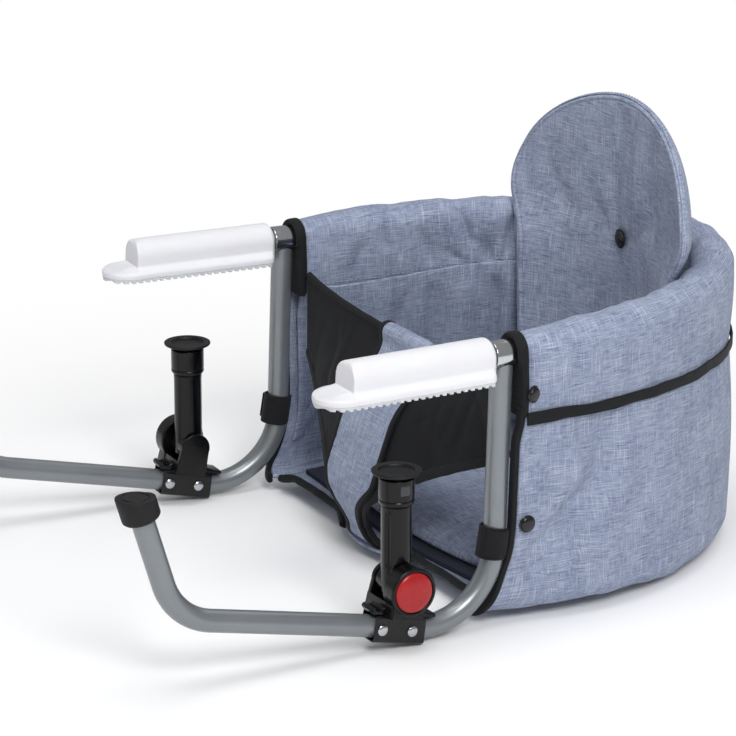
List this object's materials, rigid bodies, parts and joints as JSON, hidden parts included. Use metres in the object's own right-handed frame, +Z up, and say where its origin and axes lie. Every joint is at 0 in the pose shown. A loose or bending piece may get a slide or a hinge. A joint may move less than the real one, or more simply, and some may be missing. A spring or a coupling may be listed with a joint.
{
  "type": "hook-on table seat",
  "caption": "Child's padded fabric bucket seat on a bent tube frame that hooks on a table edge, with gripping arms above and screw clamps on folding arms below.",
  "frame": {"origin": "on the table top at its edge, midway between the two arms", "axes": "+Z up; -Y towards the table, +Y towards the back of the seat; +X to the left of a child who sits in it, facing -Y"},
  "size_m": [0.4416, 0.6373, 0.3622],
  "materials": {
    "silver_paint": "smooth silver grey metallic paint",
    "polished_steel": "polished",
    "white_rubber": "milky, half translucent, satin",
    "grey_rubber": "soft, ribbed, matt",
    "black_rubber": "matt",
    "black_steel": "semi-gloss black paint",
    "black_plastic": "fine moulded texture, semi-matt",
    "red_plastic": "smooth, glossy",
    "zinc_steel": "bright zinc plating",
    "blue_cloth": "blue grey melange plain weave with slubs",
    "black_tape": "woven binding tape, matt",
    "black_snap": "smooth, semi-gloss",
    "stiff_board": "hard fibre board, hidden"
  },
  "bodies": {
    "seat": {"upper_frame_tube": "silver_paint", "rail_cover_left": "blue_cloth", "rail_cover_back": "blue_cloth", "rail_cover_right": "blue_cloth", "side_panel_left": "blue_cloth", "back_panel": "blue_cloth", "side_panel_right": "blue_cloth", "seat_bottom_cloth": "blue_cloth", "backrest_front_pad": "blue_cloth", "backrest_rear_cover": "blue_cloth", "seat_cushion": "blue_cloth", "front_panel": "blue_cloth", "hem_tape": "black_tape", "front_edge_binding_left": "black_tape", "front_edge_binding_right": "black_tape", "front_panel_top_binding": "black_tape", "leg_binding_left": "black_tape", "leg_binding_right": "black_tape", "seat_front_binding_left": "black_tape", "seat_front_binding_right": "black_tape", "snap_upper_left": "black_snap", "snap_upper_right": "black_snap", "snap_lower_left": "black_snap", "snap_lower_right": "black_snap", "backrest_snap": "black_snap", "seat_board": "stiff_board", "backrest_board": "stiff_board", "grip_pad_left": "white_rubber", "grip_sole_left": "grey_rubber", "grip_pad_right": "white_rubber", "grip_sole_right": "grey_rubber"},
    "lower_arm_body_left": {"lower_arm_left": "silver_paint", "pivot_sleeve_left": "polished_steel", "foot_cap_left": "black_rubber", "clamp_bracket_left": "black_steel", "bracket_rivet_front_left": "zinc_steel", "bracket_rivet_rear_left": "zinc_steel", "hinge_base_left": "black_plastic", "hinge_pin_left": "zinc_steel", "button_spring_left": "zinc_steel", "hook_loop_strap_left": "black_tape"},
    "column_body_left": {"support_column_left": "black_plastic"},
    "nut_body_left": {"adjusting_nut_left": "black_plastic"},
    "dish_body_left": {"table_dish_left": "black_plastic"},
    "button_body_left": {"lock_button_left": "red_plastic"},
    "lower_arm_body_right": {"lower_arm_right": "silver_paint", "pivot_sleeve_right": "polished_steel", "foot_cap_right": "black_rubber", "clamp_bracket_right": "black_steel", "bracket_rivet_front_right": "zinc_steel", "bracket_rivet_rear_right": "zinc_steel", "hinge_base_right": "black_plastic", "hinge_pin_right": "zinc_steel", "button_spring_right": "zinc_steel", "hook_loop_strap_right": "black_tape"},
    "column_body_right": {"support_column_right": "black_plastic"},
    "nut_body_right": {"adjusting_nut_right": "black_plastic"},
    "dish_body_right": {"table_dish_right": "black_plastic"},
    "button_body_right": {"lock_button_right": "red_plastic"}
  },
  "joints": [
    {"name": "left_arm_fold", "type": "hinge", "parent": "seat", "child": "lower_arm_body_left", "pos_m": [0.19, 0.036, 0.018], "axis": [-0.0384, 0.9993, 0], "range_deg": [0, 88], "deforming": ["front_panel", "front_panel_top_binding", "leg_binding_left", "leg_binding_right"]},
    {"name": "left_column_fold", "type": "hinge", "parent": "lower_arm_body_left", "child": "column_body_left", "pos_m": [0.18983, -0.06378, -0.154], "axis": [0.9993, 0.0384, 0], "range_deg": [0, 75]},
    {"name": "left_button_press", "type": "slide", "parent": "lower_arm_body_left", "child": "button_body_left", "axis": [-0.9993, -0.0384, 0], "range_m": [0, 0.003], "stiffness_N_per_m": 300, "deforming": ["button_spring_left"]},
    {"name": "left_nut_turn", "type": "hinge", "parent": "column_body_left", "child": "nut_body_left", "pos_m": [0.18983, -0.06378, -0.078], "axis": [0, 0, 1], "range_deg": [0, 1890]},
    {"name": "left_dish_lift", "type": "slide", "parent": "column_body_left", "child": "dish_body_left", "axis": [0, 0, 1], "range_m": [0, 0.042]},
    {"name": "right_arm_fold", "type": "hinge", "parent": "seat", "child": "lower_arm_body_right", "pos_m": [-0.19, 0.036, 0.018], "axis": [-0.0384, -0.9993, 0], "range_deg": [0, 72], "deforming": ["front_panel", "front_panel_top_binding", "leg_binding_left", "leg_binding_right"]},
    {"name": "right_column_fold", "type": "hinge", "parent": "lower_arm_body_right", "child": "column_body_right", "pos_m": [-0.18983, -0.06378, -0.154], "axis": [0.9993, -0.0384, 0], "range_deg": [0, 75]},
    {"name": "right_button_press", "type": "slide", "parent": "lower_arm_body_right", "child": "button_body_right", "axis": [0.9993, -0.0384, 0], "range_m": [0, 0.003], "stiffness_N_per_m": 300, "deforming": ["button_spring_right"]},
    {"name": "right_nut_turn", "type": "hinge", "parent": "column_body_right", "child": "nut_body_right", "pos_m": [-0.18983, -0.06378, -0.078], "axis": [0, 0, 1], "range_deg": [0, 1890]},
    {"name": "right_dish_lift", "type": "slide", "parent": "column_body_right", "child": "dish_body_right", "axis": [0, 0, 1], "range_m": [0, 0.042]}
  ],
  "couplings": [
    {"joint": "left_nut_turn", "follows": "left_dish_lift", "rad_per_m": 785.4},
    {"joint": "right_nut_turn", "follows": "right_dish_lift", "rad_per_m": 785.4}
  ]
}
